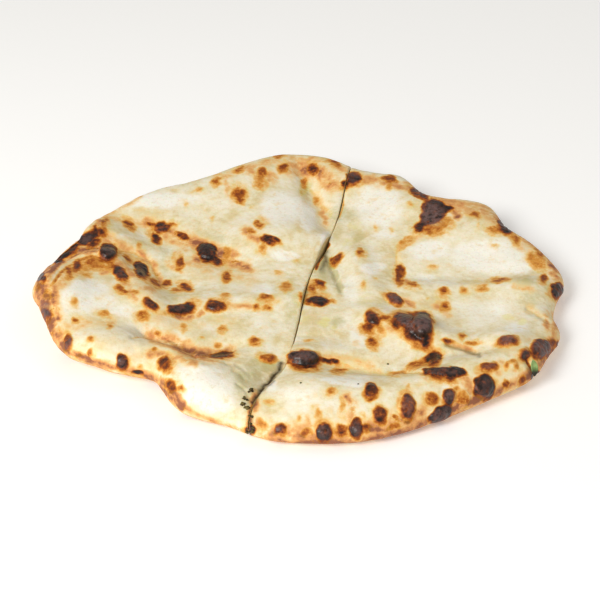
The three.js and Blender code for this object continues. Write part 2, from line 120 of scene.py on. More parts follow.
SPOTS_BACK_RIGHT = [
    (353, 178, 16, 13, -10, .86), (345, 184.5, 8, 7, 0, .86), (337, 165, 16, 6, 10, .46),
    (332, 161.5, 18, 4, 5, .56), (389, 178.5, 18, 7, 10, .7), (390, 186, 9, 7, 0, .44),
    (419, 193.5, 22, 8, 30, .84), (411, 203, 13, 8, 0, .28), (428, 207, 14, 18, 20, .76),
    (443, 207, 18, 9, 12, .84), (437, 213, 14, 12, 0, .8), (428, 218, 16, 14, -30, .66),
    (419, 227, 14, 11, -30, .5), (446, 222, 22, 13, 0, .36), (430, 229, 20, 8, -10, .42),
    (435, 233, 32, 9, -5, .26), (405, 242, 24, 9, -30, .42), (476, 214, 13, 7, 15, .54),
    (505, 226, 17, 11, 38, .95), (494, 230, 20, 9, 10, .44), (515, 238, 15, 11, 45, .44),
    (494, 245, 11, 6, 0, .28), (537, 261, 28, 15, 40, .4), (539.5, 252.5, 18, 6, 42, .5),
    (544, 278, 9, 7, 0, .66), (558, 290, 14, 15, 0, .92), (400, 273, 10, 21, 5, .68),
    (413, 284, 18, 6, 20, .5), (432, 266, 13, 7, 0, .36), (500.5, 279.5, 22, 6, -8, .58),
    (482, 287.5, 15, 9, 0, .45), (465, 290, 11, 8, 0, .4), (444.5, 291, 12, 8, 0, .58),
    (445, 306, 12, 10, -20, .58), (336.5, 258.5, 17, 8, -42, .7), (360.5, 252, 8, 9, 0, .54),
    (375, 227, 7, 9, 0, .26), (391, 229, 7, 6, 0, .24), (363.5, 284.5, 8, 9, 0, .34),
    (376, 278, 8, 4, 0, .26), (319.5, 283.5, 14, 8, 32, .68), (312, 288, 8, 8, 0, .6),
    (317.5, 300.5, 22, 10, 0, .9), (332, 301, 10, 5, 0, .44), (478, 225, 7, 12, 0, .25),
]
SPOTS_FRONT_RIGHT = [
    (304, 358, 34, 15, 4, 1), (329, 360.5, 22, 6, 8, .86), (304, 366, 30, 8, 2, .64),
    (340.5, 369.5, 15, 4, 0, .54), (373, 318, 18, 13, 35, .86), (367.5, 328, 19, 11, 25, .6),
    (373, 342.5, 14, 11, 30, .62), (381, 330, 10, 12, 0, .4), (356.5, 343, 7, 6, 0, .2),
    (309, 340, 10, 5, 0, .38), (394, 298.5, 20, 9, 30, .8), (385.5, 317.5, 16, 6, 0, .64),
    (402, 318, 18, 12, 10, .84), (396, 322, 12, 10, 0, .8), (424, 325, 19, 25, -10, .9),
    (414, 335, 30, 12, 28, .72), (426, 339, 14, 12, 0, .68), (426, 345, 14, 11, 40, .68),
    (417, 345.5, 14, 8, 10, .5), (428, 298.5, 6, 5, 0, .26), (363, 415, 8, 8, 0, .3),
    (334, 432, 8, 10, 0, .45), (462, 335.5, 9, 7, 0, .46), (448, 341, 13, 5, 10, .64),
    (472, 342.5, 17, 5, 0, .55), (434, 357.5, 15, 12, -20, .92), (429, 359, 16, 9, -20, .66),
    (416, 364, 24, 8, -22, .52), (445, 371.5, 44, 10, 2, 1), (443, 378.5, 32, 8, 5, .46),
    (508, 340.5, 23, 10, -5, .76), (525, 354, 12, 11, 30, .86), (541, 348.5, 22, 19, 0, .86),
    (551, 342, 14, 8, 10, .68), (558.5, 345, 7, 12, 0, .62), (552, 351, 11, 9, -30, .6),
    (537, 376, 12, 10, 0, 1), (489, 366.5, 19, 10, -10, .74), (506.5, 365, 6, 8, 0, .42),
    (517, 366, 6, 7, 0, .44), (511.5, 361, 12, 4, 0, .46), (484.5, 386, 22, 23, 0, 1),
    (506, 384.5, 8, 12, 0, .66), (522.5, 380, 9, 12, 40, .66), (371, 390, 15, 16, 0, .84),
    (380, 414.5, 14, 17, 0, .84), (407.5, 406, 17, 27, 5, .74), (432.5, 397.5, 14, 12, 0, .68),
    (449, 397, 12, 15, 15, 1), (441, 414, 26, 14, -32, 1), (463, 397.5, 15, 19, 0, .5),
    (456.5, 388.5, 8, 6, 0, .42), (393, 427, 22, 9, -18, .46), (409, 386, 6, 5, 0, .32),
    (397, 373, 26, 5, -3, .42), (332, 390.5, 14, 8, 0, .45), (261.5, 423, 13, 12, 0, .45),
    (280, 429.5, 15, 13, 0, .7), (318.5, 413.5, 9, 11, 0, .42), (298.5, 418, 7, 7, 0, .34),
    (324, 432.5, 18, 18, 0, .96), (356, 428, 13, 19, 0, .92), (342, 404, 9, 25, 0, .3),
    (306, 432, 15, 9, 0, .54), (342, 429.5, 13, 12, 0, .72), (269, 401.5, 19, 8, 15, .3),
    (527.5, 312.5, 13, 4, 10, .2), (284, 409, 12, 6, 20, .16), (366, 427, 12, 12, 0, .6),
    (335, 372, 20, 4, 5, .34), (420, 385, 12, 5, -10, .2), (316, 395, 9, 9, 0, .14),
]
SPOTS = SPOTS_BACK_LEFT + SPOTS_FRONT_LEFT + SPOTS_BACK_RIGHT + SPOTS_FRONT_RIGHT

# Burnt patches with straight edges: corners clockwise, heat.
FLAT_BURNS = [
    ([(431, 196), (456, 208), (441, 220), (417, 233), (414, 228)], 0.84),
    ([(419, 228), (440, 221), (452, 226), (430, 238)], 0.34),
    ([(74, 240), (97, 224), (100, 234), (84, 247)], 0.72),
    ([(395, 317), (404, 312), (427, 311), (432, 325), (430, 343), (424, 347), (407, 335)], 0.76),
]

# Raised blisters: x, y, width, height, turn, rise in mm, and how grey the charred skin is: ashes,
# and a painted sheen.
BLISTERS = [
    (207, 251, 22, 18, 25, 1.6, .1), (108, 251, 21, 17, 0, 2, .5), (141, 269, 17, 11, 50, .8, .2),
    (120, 273, 20, 12, 45, .9, .3), (180, 309, 30, 12, -5, .9, .4), (215, 305, 21, 11, 0, .8, .1),
    (162, 228, 16, 11, 10, .7, .3), (87, 239, 19, 12, -25, .8, .7), (46, 310, 14, 34, -8, .4, 1),
    (68, 343, 11, 20, 15, .8, .9), (122, 361, 12, 17, 0, .9, .8), (165, 363, 15, 14, 45, .5, 0),
    (304, 357, 37, 18, 4, 2.4, .9), (318, 300, 22, 11, 0, .6, .1), (372, 316, 19, 14, 35, .9, .3),
    (394, 299, 22, 12, 30, 1.3, 1), (403, 318, 22, 15, 10, 1.4, .7),
    (423, 324, 25, 29, -10, 2.6, 1), (411, 325, 18, 15, 30, .5, 1.6),
    (434, 358, 16, 12, -15, .9, .2), (446, 371, 46, 12, 2, 1.4, .5), (508, 341, 25, 14, -5, 1.6, 1),
    (525, 353, 12, 12, 30, 1, .4), (541, 347, 24, 21, 0, 1.6, .9), (484, 386, 24, 25, 0, 2, .4),
    (489, 366, 20, 11, -10, .7, .5), (371, 390, 16, 17, 0, .9, 0), (407, 406, 19, 29, 5, 1.2, .8),
    (380, 414, 15, 18, 0, .6, .1), (449, 396, 15, 19, 15, 1.2, .9), (441, 414, 28, 16, -32, 1, 1),
    (324, 432, 20, 20, 0, .9, .7), (356, 428, 14, 21, 0, .8, .7), (432, 214, 34, 34, -20, .3, 1.3),
    (353, 178, 17, 14, -10, .6, .5), (280, 429, 16, 14, 0, .6, .1), (270, 239, 22, 10, 15, .5, 0),
    (511, 365, 16, 11, 0, .6, 0), (267, 357, 22, 11, 10, .7, 0), (463, 398, 17, 20, 0, .6, 0),
    (150, 304, 16, 9, 35, .5, .3), (558, 290, 15, 16, 0, .6, .3), (250, 429, 10, 9, 0, .6, .5),
]

# Toasted bands: points, half-width in pixels, amount. Those along the rim are toasting; many
# others, in valleys and on the shaded sides of ridges and folds, are painted shade.
TOAST_AND_SHADE_BANDS = [
    ([(140, 196), (118, 211), (100, 224)], 6, .5),
    ([(104, 219), (82, 238), (60, 256), (42, 276)], 9, .78),
    ([(44, 276), (42, 296), (50, 326), (66, 352)], 15, 1),
    ([(42, 300), (46, 318), (54, 334)], 8, 1.1),
    ([(66, 352), (100, 364), (140, 373), (166, 384), (182, 406)], 8, .9),
    ([(44, 280), (55, 267), (67, 257), (82, 251), (100, 249)], 6, 1.05),
    ([(60, 284), (72, 268), (96, 261), (118, 264), (140, 278), (152, 292)], 12, .6),
    ([(86, 232), (112, 238), (130, 250), (146, 262)], 9, .6),
    ([(148, 224), (172, 232), (196, 243), (232, 256)], 12, .85),
    ([(104, 214), (130, 222), (150, 226)], 9, .5),
    ([(134, 276), (150, 300), (166, 320)], 12, .42),
    ([(160, 313), (200, 310), (252, 306)], 7, .5),
    ([(66, 326), (92, 322), (112, 322)], 10, .45),
    ([(152, 334), (170, 341), (188, 350), (204, 355), (228, 353)], 13, .9),
    ([(182, 406), (215, 422), (252, 434)], 6, .7),
    ([(298, 443), (345, 443), (390, 436), (428, 423), (462, 407)], 11, .9),
    ([(262, 438), (298, 443)], 7, .75),
    ([(262, 430), (300, 434), (345, 434), (390, 426), (420, 412)], 18, .78),
    ([(424, 396), (440, 400)], 9, .4),
    ([(462, 405), (500, 392), (530, 376), (548, 358)], 12, .85),
    ([(550, 352), (556, 322), (562, 290), (548, 255)], 10, .75),
    ([(548, 255), (520, 232), (480, 210), (440, 202)], 12, .7),
    ([(440, 202), (410, 188), (360, 178), (330, 163)], 9, .65),
    ([(330, 163), (290, 157), (250, 166), (216, 180)], 7, .5),
    ([(528, 306), (545, 318), (552, 332)], 8, .45),
    ([(514, 350), (524, 344), (536, 335)], 8, .3),
    ([(425, 232), (398, 248), (396, 262)], 8, .4),
    ([(176, 262), (200, 266), (230, 262)], 10, .45),
    ([(100, 300), (112, 290), (135, 295)], 8, .3),
    ([(246, 232), (258, 238), (268, 243)], 10, .85),
    ([(292, 166), (318, 172), (332, 184)], 17, .75),
    ([(374, 328), (400, 330), (428, 342)], 10, .5),
    ([(286, 363), (320, 364), (352, 368), (380, 372)], 6, .4),
    ([(462, 376), (482, 398)], 14, .6),
    ([(160, 355), (172, 372), (182, 392)], 8, .4),
    ([(198, 258), (212, 254), (232, 262), (248, 268)], 10, .85),
    ([(138, 252), (152, 264), (160, 284)], 8, .75),
    ([(172, 314), (188, 318), (202, 312)], 7, 1),
    ([(446, 411), (470, 402), (492, 394)], 7, 1.2),
    ([(448, 408), (466, 400)], 8, .9),
    ([(52, 294), (55, 306), (58, 318)], 8, .9),
    ([(160, 336), (185, 342)], 8, .8),
    ([(150, 353), (175, 358), (195, 363)], 8, .72),
    ([(514, 286), (532, 290)], 7, .55),
    ([(530, 352), (545, 360)], 8, .6),
    ([(160, 386), (170, 398), (182, 408)], 6, 1),
    ([(64, 340), (100, 348), (140, 358), (166, 372)], 17, .32),
    ([(190, 264), (226, 274), (250, 280)], 17, .38),
    ([(140, 318), (180, 326), (232, 320)], 14, .32),
    ([(250, 424), (252, 396)], 10, .5),
    ([(54, 286), (56, 303), (58, 316)], 8, .75),
    ([(104, 272), (116, 258)], 7, .7),
    ([(124, 282), (134, 298)], 10, .6),
    ([(348, 397), (353, 408), (350, 420)], 9, .8),
    ([(394, 418), (408, 422)], 8, 1),
    ([(318, 356), (350, 358), (372, 366)], 8, .5),
    ([(226, 180), (230, 200)], 7, .5),
    ([(250, 172), (274, 178)], 9, .6),
    ([(545, 314), (547, 330)], 7, .7),
    ([(168, 262), (182, 270)], 8, .6),
    ([(452, 344), (474, 350)], 6, .6),
    ([(104, 238), (116, 244)], 8, .6),
    ([(254, 394), (254, 408)], 8, .9),
    ([(258, 424), (266, 434)], 9, .8),
    ([(308, 418), (312, 430)], 8, .6),
    ([(370, 430), (388, 428)], 8, 1),
    ([(400, 276), (406, 282)], 8, .6),
    ([(402, 302), (412, 306)], 8, .7),
    ([(436, 306), (448, 314)], 8, .5),
    ([(486, 364), (498, 372)], 9, .5),
    ([(426, 378), (438, 380)], 8, .6),
    ([(500, 362), (516, 370)], 8, .5),
    ([(165, 236), (186, 246)], 10, .6),
    ([(140, 312), (146, 326)], 8, .5),
    ([(520, 246), (526, 256)], 9, .5),
    ([(450, 206), (458, 216)], 8, .8),
    ([(253, 402), (250, 412), (248, 424), (250, 434)], 5, 1.2),
    ([(318, 196), (326, 224)], 8, .5),
]

# Yellow patches where the filling shines through, and olive ones, partly a tint of the dough and
# partly painted shade in valleys and beside the cut: x, y, width, height, amount.
YELLOW = [
    (324, 322, 16, 12, .8), (334, 327, 10, 9, .8), (508, 317, 16, 9, .6), (522, 322, 13, 9, .6),
    (536, 318, 9, 7, .5), (286, 226, 30, 16, .25), (348, 242, 22, 14, .45), (365, 300, 26, 20, .35),
    (215, 318, 40, 14, .3), (300, 320, 30, 30, .3), (470, 306, 60, 30, .2), (356, 226, 24, 16, .4),
]
OLIVE = [
    (342, 214, 40, 22, .65), (331, 263, 9, 16, 1.3), (335, 275, 9, 16, 1.3), (340, 287, 9, 16, 1.1),
    (333, 230, 20, 26, .4), (324, 268, 22, 38, 1), (325, 262, 12, 20, 1.3), (305, 183, 18, 36, .7),
    (356, 236, 20, 16, .55), (226, 256, 18, 24, .6), (338, 324, 12, 10, .6),
    (254, 372, 26, 40, .65), (250, 402, 14, 34, .8), (335, 358, 60, 12, .9), (165, 262, 22, 50, .4),
    (172, 298, 16, 30, .4), (205, 242, 60, 22, .7), (212, 318, 90, 22, .4), (524, 284, 26, 14, 1),
    (530, 297, 24, 28, .6), (268, 367, 22, 12, 1.2), (455, 346, 60, 10, .3), (378, 372, 70, 10, .4),
    (196, 346, 26, 12, .4), (82, 243, 44, 14, 1), (291, 306, 18, 60, .5), (338, 322, 18, 14, .8),
    (242, 382, 20, 32, .8), (312, 168, 24, 18, .5), (272, 364, 20, 10, .5), (150, 318, 26, 24, .4),
]
# Where the dough is whiter: dry flour, and painted light on the lit bulges and slopes: x, y,
# width, height, amount.
FLOUR_AND_LIGHT_PATCHES = [
    (86, 296, 62, 38, 1.2), (122, 312, 44, 18, .7), (198, 384, 76, 50, 1), (216, 402, 50, 30, .8),
    (158, 200, 110, 20, .9), (124, 236, 18, 10, .5), (282, 208, 56, 44, .9), (378, 206, 60, 60, .9),
    (490, 256, 96, 40, 1.1), (430, 250, 60, 26, .8), (352, 288, 28, 50, .6), (308, 218, 20, 34, 1),
    (285, 255, 34, 14, .9), (484, 312, 80, 34, .6), (338, 380, 44, 12, .8), (362, 382, 34, 14, 1),
    (452, 386, 20, 12, .8), (272, 386, 16, 16, .8), (296, 394, 60, 26, .5), (214, 330, 34, 14, .3),
    (248, 286, 56, 12, .5), (358, 336, 22, 30, .7), (518, 327, 30, 15, .9), (322, 314, 20, 20, .4),
    (276, 320, 40, 20, .3), (300, 332, 16, 30, .4), (520, 268, 34, 16, .9), (110, 352, 60, 18, .5),
    (262, 290, 28, 14, .9), (384, 234, 34, 14, .9), (372, 268, 34, 14, .9), (425, 277, 30, 12, .7),
    (210, 328, 26, 12, .7), (326, 240, 16, 20, 1),
]

# Creases and the lips of folds: points, half-width in pixels, depth in mm (below 0 for a ridge),
# and how brown the line is: partly browning of the crease, partly painted shade in it and along the
# cut.
CREASES = [
    ([(132, 337), (157, 338), (174, 342), (184, 350), (197, 357)], 2.2, .8, .3),
    ([(188, 353), (197, 357), (214, 354), (232, 351)], 2.4, .9, .7),
    ([(140, 346), (157, 346), (172, 351), (186, 360), (200, 366), (218, 363)], 6, -.8, 0),
    ([(118, 250), (136, 254), (148, 260), (153, 269), (158, 281), (166, 285)], 3, .7, .42),
    ([(446, 344.5), (466, 350), (480, 355)], 2.4, .6, .1),
    ([(528, 309), (539, 315), (549, 323)], 3, .8, .24),
    ([(328, 256), (333, 270), (338, 282), (342, 292)], 3, .9, .2),
    ([(344, 190), (343, 204), (340, 216)], 3, .7, .45),
    ([(298, 166), (304, 180), (312, 192), (322, 206), (330, 214)], 6, .9, .3),
    ([(526, 357), (531, 367), (536, 379)], 3, 1.2, .9),
    ([(406, 372), (430, 374), (460, 372)], 3, .7, .35),
    ([(320, 362), (350, 368), (385, 374), (412, 372)], 4, .6, .25),
    ([(205, 364), (218, 362), (231, 364)], 2, .35, .2),
    ([(233, 371), (239, 373), (245, 379)], 2, .35, .24),
    ([(238, 384), (246, 390), (250, 398)], 2, .35, .2),
    ([(236, 364), (243, 369), (250, 377)], 2, .3, .16),
    ([(46, 278), (56, 265), (68, 256), (82, 250), (98, 247)], 5, -1, 0),
    ([(52, 262), (64, 251), (76, 243), (94, 237), (110, 236)], 4.5, .9, 0),
    ([(280, 367), (268, 383), (258, 393.5), (252.5, 402.5)], 4, .35, .2),
    ([(329, 244), (322, 256), (316, 268)], 3, .4, 1),
    ([(50, 286), (62, 271), (76, 261), (92, 256), (106, 260)], 3.6, .3, .62),
    ([(253, 402.5), (251, 412), (249.5, 424), (250, 434)], 3.2, .3, .5),
    ([(440, 284), (476, 284), (512, 281), (540, 278)], 6, -.5, 0),
    ([(396, 262), (397, 248), (414, 236)], 3.4, .5, .3),
    ([(300, 336), (316, 337), (336, 334)], 3, .3, .14),
    ([(140, 312), (180, 318), (230, 314), (270, 309)], 4, .35, .12),
]

# Painted shadow: deep brown in the mouth of the cut and in folds, where shade falls: points,
# half-width in pixels, amount.
SHADES = [
    ([(281.5, 365), (270, 381), (259, 393), (253.5, 402)], 4, 1),
    ([(253.5, 402), (251, 412), (250, 422)], 3.4, .5),
    ([(446, 344.5), (466, 350), (480, 355)], 3, .55),
    ([(327, 252), (325, 262), (322, 270)], 4, .65),
    ([(172, 341), (186, 350), (204, 353), (231, 351)], 3.2, .25),
]

# Crumbs of herb and burnt filling at the front mouth of the cut, and three specks on the right
# half: x, y, size in mm.
CRUMBS = [
    (251.5, 390.5, 1.7), (249, 392, 1), (244, 398.5, 1.4), (247, 400, 1), (242.5, 404.5, 1.7),
    (245, 407.5, 1.1), (247.5, 408, 1.6), (252.5, 416.5, 1.2), (249, 415.5, .8), (248.5, 421, 1.1),
    (249, 427, 1.7), (252, 431, 1.6), (247.5, 432, 1.3), (251, 424, 1.2), (253, 428, 1.1),
    (301, 383, .7), (358, 384, .6), (388, 364, .8),
]

# ---- numbers for the meshes ----

SIDES = {"left": 1, "right": -1}  # each half, and the way along X from it to the other
QUAD_ANGLE = 0.9  # triangles that differ less than this, in radians, are joined
SMOOTH_LEVELS = 2
SHARP_ANGLE = math.radians(50)  # edges of the cut are sharper than this
CUT_EDGE_CREASE = 0.75
MERGE = 1e-6
CUT_MARGIN = 2.2 * MM  # near the cut the relief leaves its walls alone
# The skin's mesh is made finer where it is hotter than this or has more relief, and doesn't face
# further down.
FINE_HEAT = 0.12
FINE_RELIEF = 0.06 * MM
FINE_FACING = -0.2
# How unevenly spots and bumps are outlined: grain, and reach in pixels.
SPOT_WAVES = ((4 * MM, 2.2), (1.7 * MM, 0.9))
BUMP_WAVES = ((6 * MM, 1.6),)
LUMPS = 0.22 * MM
LUMP_GRAIN = 7 * MM
PIMPLES = 0.1 * MM
PIMPLE_GRAIN = 2.2 * MM
CRACKLE = 0.32 * MM  # how rough burnt skin gets
CRACKLE_GRAIN = 1.5 * MM
CRACKLE_HEAT = (0.6, 0.95)  # from where to where the skin gets rough as it burns
NOISE_STRIDE = (17.3, 5.1, 9.7)  # how far apart the noise of two seeds is


def smooth(low, high, value):
    """0 below low, 1 above high, and a smooth step between them."""
    t = np.clip((value - low) / (high - low), 0, 1)
    return t * t * (3 - 2 * t)


def noise_at(points, grain, seed):
    """Smooth noise from about -1 to 1 at each point."""
    offset = Vector([stride * seed for stride in NOISE_STRIDE])
    return np.array([noise.noise(Vector(p) / grain + offset) for p in points])


def stray(points, *waves):
    """Shifts of photo places, from waves of a grain and a reach, that make outlines uneven."""
    shifts = np.zeros((len(points), 2))
    for grain, reach in waves:
        shifts += reach * np.array([noise.noise_vector(Vector(p) / grain) for p in points])[:, :2]
    return shifts


def oval(places, x, y, width, height, turn=0):
    """Distance from an oval's middle: 1 on its edge."""
    angle = math.radians(turn)
    across, down = (places - np.array((x, y))).T
    along = across * math.cos(angle) + down * math.sin(angle)
    beside = down * math.cos(angle) - across * math.sin(angle)
    return np.hypot(along / (width / 2), beside / (height / 2))


def outside_by(places, x, y, width, height, turn):
    """How far outside an oval each place is, in pixels, and below 0 inside it."""
    return (oval(places, x, y, width, height, turn) - 1) * (width + height) / 4


def from_path(places, path):
    """Distance in pixels from a path of straight stretches."""
    nearest = np.full(len(places), np.inf)
    for start, end in zip(path, path[1:]):
        start, end = np.array(start, float), np.array(end, float)
        step = end - start
        along = np.clip((places - start) @ step / (step @ step), 0, 1)
        gap = places - start - along[:, None] * step
        nearest = np.minimum(nearest, np.hypot(*gap.T))
    return nearest


def inside_by(places, corners):
    """How far inside an outline with straight edges, clockwise in the picture, in pixels."""
    least = np.full(len(places), np.inf)
    for start, end in zip(corners, corners[1:] + corners[:1]):
        step = np.array(end, float) - np.array(start, float)
        inward = np.array((-step[1], step[0])) / np.hypot(*step)
        least = np.minimum(least, (places - np.array(start)) @ inward)
    return least


# ---- the oven's marks, and painted light and shade, at each point ----

SPOT_EDGE_IN = 0.95  # share of a pale spot's radius, from its edge inwards, where its heat grows
SPOT_EDGE_IN_MOST = 5.5  # in pixels
SPOT_SHARPNESS = 0.65  # how much narrower that edge is in a black spot
SPOT_EDGE_OUT = 2.8  # how far outside its edge the heat has faded away, in pixels
GLOW = 0.3  # heat of the golden dough around a spot
GLOW_RISE = 1.3  # a spot's heat times this, up to 1, is its share of the full glow
GLOW_REACH = 10  # in pixels
GLOW_DRIFT = 3  # how far it is off its spot's middle, in pixels
# Each spot's front edge is softer and its back darker: painted shade at the back of its blister.
FRONT_HEAT = 0.68  # share of a spot's heat in its softer front edge
FRONT_DRIFT = 0.16  # how far that edge is in front of the spot's middle, as a share of its height
FRONT_EDGE = (-2.5, 4.4)  # from where to where its heat fades, in pixels outside the spot
MERGE_POWER = 3  # the lower, the more neighbouring spots run together
FLAT_BURN_EDGE = (-2, 3)  # from where to where the heat grows, in pixels inside its outline
PATCH_EDGE = (0.3, 1.3)  # from where to where a patch fades, as shares of its radius
BAND_EDGE = (-0.2, 1.25)  # the same of a band, as shares of its half-width
BLISTER_FOOT = 0.35  # share of a blister's radius, from its edge inwards, where it starts to rise
ASH_AND_SHEEN_EDGE = (0.35, 0.95)  # from where to where a blister's grey, ashes and painted sheen, fades, as shares of its radius
CREASE_EDGE = (0.1, 1.0)  # the same of a crease's brown, partly painted shade, as shares of its half-width


def spot_heat(places):
    """Heat of the charred spots, each darker at its back as painted shade of its blister, with a
    glow around each, and of the flat burns.
    """
    heat = np.zeros(len(places))
    for x, y, width, height, turn, peak in SPOTS:
        shape = (width, height, turn)
        radius = (width + height) / 4
        inner = -min(SPOT_EDGE_IN * radius, SPOT_EDGE_IN_MOST) * (1 - SPOT_SHARPNESS * peak**2)
        core = peak * (1 - smooth(inner, SPOT_EDGE_OUT, outside_by(places, x, y, *shape)))
        # the softer front leaves the back darker: painted shade of the blister
        before = outside_by(places, x, y + FRONT_DRIFT * height, *shape)
        front = FRONT_HEAT * peak * (1 - smooth(*FRONT_EDGE, before))
        drifted = (x + GLOW_DRIFT * math.sin(x), y + GLOW_DRIFT * math.sin(y))
        beside = outside_by(places, *drifted, *shape)
        glow = GLOW * min(1, peak * GLOW_RISE) * np.clip(1 - beside / GLOW_REACH, 0, 1) ** 2
        heat += np.maximum(np.maximum(core, front), glow) ** MERGE_POWER
    for corners, peak in FLAT_BURNS:
        heat += (peak * smooth(*FLAT_BURN_EDGE, inside_by(places, corners))) ** MERGE_POWER
    return np.minimum(heat ** (1 / MERGE_POWER), 1)


def patches(places, listed):
    """Amount at each place of the oval patches in a list."""
    amount = np.zeros(len(places))
    for x, y, width, height, strength in listed:
        share = 1 - smooth(*PATCH_EDGE, oval(places, x, y, width, height))
        amount = np.maximum(amount, strength * share)
    return amount


def bands(places, listed):
    """Amount at each place of the bands in a list."""
    amount = np.zeros(len(places))
    for path, half_width, strength in listed:
        share = 1 - smooth(*BAND_EDGE, from_path(places, path) / half_width)
        amount = np.maximum(amount, strength * share)
    return amount


def blister_fields(places):
    """Rise in mm, and ashy grey of the blisters with a painted sheen."""
    rise = np.zeros(len(places))
    ash_and_sheen = np.zeros(len(places))
    for x, y, width, height, turn, top, grey in BLISTERS:
        out = oval(places, x, y, width, height, turn)
        dome = np.sqrt(np.clip(1 - out**2, 0, 1)) * smooth(0, BLISTER_FOOT, 1 - out)
        rise = np.maximum(rise, top * dome)
        ash_and_sheen = np.maximum(ash_and_sheen, grey * (1 - smooth(*ASH_AND_SHEEN_EDGE, out)))
    return rise, ash_and_sheen


def crease_fields(places):
    """Depth in mm and brownness of the creases, partly painted shade."""
    depth = np.zeros(len(places))
    brown = np.zeros(len(places))
    for path, half_width, deep, dark in CREASES:
        out = from_path(places, path) / half_width
        depth += deep * np.exp(-out * out)
        brown = np.maximum(brown, dark * (1 - smooth(*CREASE_EDGE, out)))
    return depth, brown


# The underside and what faces away from the photograph: blotches from a seeded draw.
UNDER_SPOTS = 150
UNDER_REACH = 112 * MM
UNDER_SIZE = (2, 6.5)  # the least in mm, and how much more there can be
UNDER_SIZE_POWER = 2.5  # the higher, the rarer the large ones are
UNDER_HEAT = (0.35, 0.6)  # the least, and how much more there can be
UNDER_EDGE = (0.45, 1.5)  # from where to where the heat fades, as shares of a blotch's radius
UNDER_WAVE = 1.6 * MM  # how unevenly they are outlined
UNDER_GRAIN = 4 * MM
under_draw = np.random.default_rng(7)
under_spots = [
    (radius * math.cos(turn), radius * math.sin(turn), size, peak)
    for radius, turn, size, peak in zip(
        UNDER_REACH * np.sqrt(under_draw.random(UNDER_SPOTS)),
        2 * math.pi * under_draw.random(UNDER_SPOTS),
        MM * (UNDER_SIZE[0] + UNDER_SIZE[1] * under_draw.random(UNDER_SPOTS) ** UNDER_SIZE_POWER),
        UNDER_HEAT[0] + UNDER_HEAT[1] * under_draw.random(UNDER_SPOTS),
    )
]


def hidden_heat(points):
    """Heat of the blotches that the photograph doesn't show."""
    shifts = np.stack([noise_at(points, UNDER_GRAIN, seed) for seed in (3, 4)], axis=1)
    plan = points[:, :2] + UNDER_WAVE * shifts
    heat = np.zeros(len(points))
    for x, y, size, peak in under_spots:
        out = np.hypot(*(plan - np.array((x, y))).T) / size
        heat = np.maximum(heat, peak * (1 - smooth(*UNDER_EDGE, out)))
    return heat


# ---- meshes ----

SKIN, CUT_WALL = 0, 1


def label_faces(mesh):
    """Parts the skin from the walls of the cut and of the pocket, which sharp edges separate."""
    unseen = set(mesh.faces)
    islands = []
    while unseen:
        waiting = [unseen.pop()]
        island = list(waiting)
        while waiting:
            for edge in waiting.pop().edges:
                if len(edge.link_faces) == 2 and edge.calc_face_angle() < SHARP_ANGLE:
                    for face in edge.link_faces:
                        if face in unseen:
                            unseen.remove(face)
                            waiting.append(face)
                            island.append(face)
        islands.append(island)
    skin = max(islands, key=lambda island: sum(face.calc_area() for face in island))
    for island in islands:
        for face in island:
            face.material_index = SKIN if island is skin else CUT_WALL


def smooth_copy(node, name):
    """A finer, rounder copy of a node's mesh, with its sharp edges kept."""
    mesh = bmesh.new()
    mesh.from_mesh(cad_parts[node].data)
    bmesh.ops.remove_doubles(mesh, verts=mesh.verts, dist=MERGE)
    bmesh.ops.join_triangles(
        mesh, faces=mesh.faces, angle_face_threshold=QUAD_ANGLE, angle_shape_threshold=QUAD_ANGLE
    )
    label_faces(mesh)
    layer = mesh.edges.layers.float.new("crease_edge")
    for edge in mesh.edges:
        if len(edge.link_faces) == 2 and edge.calc_face_angle() > SHARP_ANGLE:
            edge[layer] = CUT_EDGE_CREASE
    data = bpy.data.meshes.new(name)
    mesh.to_mesh(data)
    mesh.free()
    cage = bpy.data.objects.new(name + "_cage", data)
    bpy.context.scene.collection.objects.link(cage)
    rounder = cage.modifiers.new("rounder", "SUBSURF")
    rounder.levels = rounder.render_levels = SMOOTH_LEVELS
    view = bpy.context.evaluated_depsgraph_get()
    fine = bpy.data.meshes.new_from_object(cage.evaluated_get(view))
    fine.name = name
    bpy.data.objects.remove(cage)
    return fine


def vertex_arrays(mesh):
    """Places and normals of a mesh's vertices, a row each."""
    count = len(mesh.vertices)
    points = np.empty(count * 3)
    normals = np.empty(count * 3)
    mesh.vertices.foreach_get("co", points)
    mesh.vertices.foreach_get("normal", normals)
    return points.reshape(-1, 3), normals.reshape(-1, 3)


def skin_share(mesh):
    """1 at vertices of the skin and 0 at those that only the cut's walls have."""
    share = np.zeros(len(mesh.vertices))
    for face in mesh.polygons:
        if face.material_index == SKIN:
            share[list(face.vertices)] = 1
    return share


def distance_to(points, targets):
    """How far each point is from the nearest target."""
    tree = KDTree(len(targets))
    for index, target in enumerate(targets):
        tree.insert(target, index)
    tree.balance()
    return np.array([tree.find(point)[2] for point in points])


def refine(mesh, wanted):
    """Halves the faces that have a wanted vertex."""
    work = bmesh.new()
    work.from_mesh(mesh)
    faces = [face for face in work.faces if any(wanted[vert.index] for vert in face.verts)]
    edges = list(dict.fromkeys(edge for face in faces for edge in face.edges))
    bmesh.ops.subdivide_edges(work, edges=edges, cuts=1, use_grid_fill=True)
    ragged = [face for face in work.faces if len(face.verts) > 4]
    bmesh.ops.triangulate(work, faces=ragged)
    work.to_mesh(mesh)
    work.free()


def relief(places):
    """Lift out of the smooth skin, and what goes with it: ashy grey with painted sheen on blisters,
    and brown in creases that is partly painted shade.
    """
    rise, ash_and_sheen = blister_fields(places)
    depth, brown = crease_fields(places)
    return MM * (rise - depth), ash_and_sheen, brown


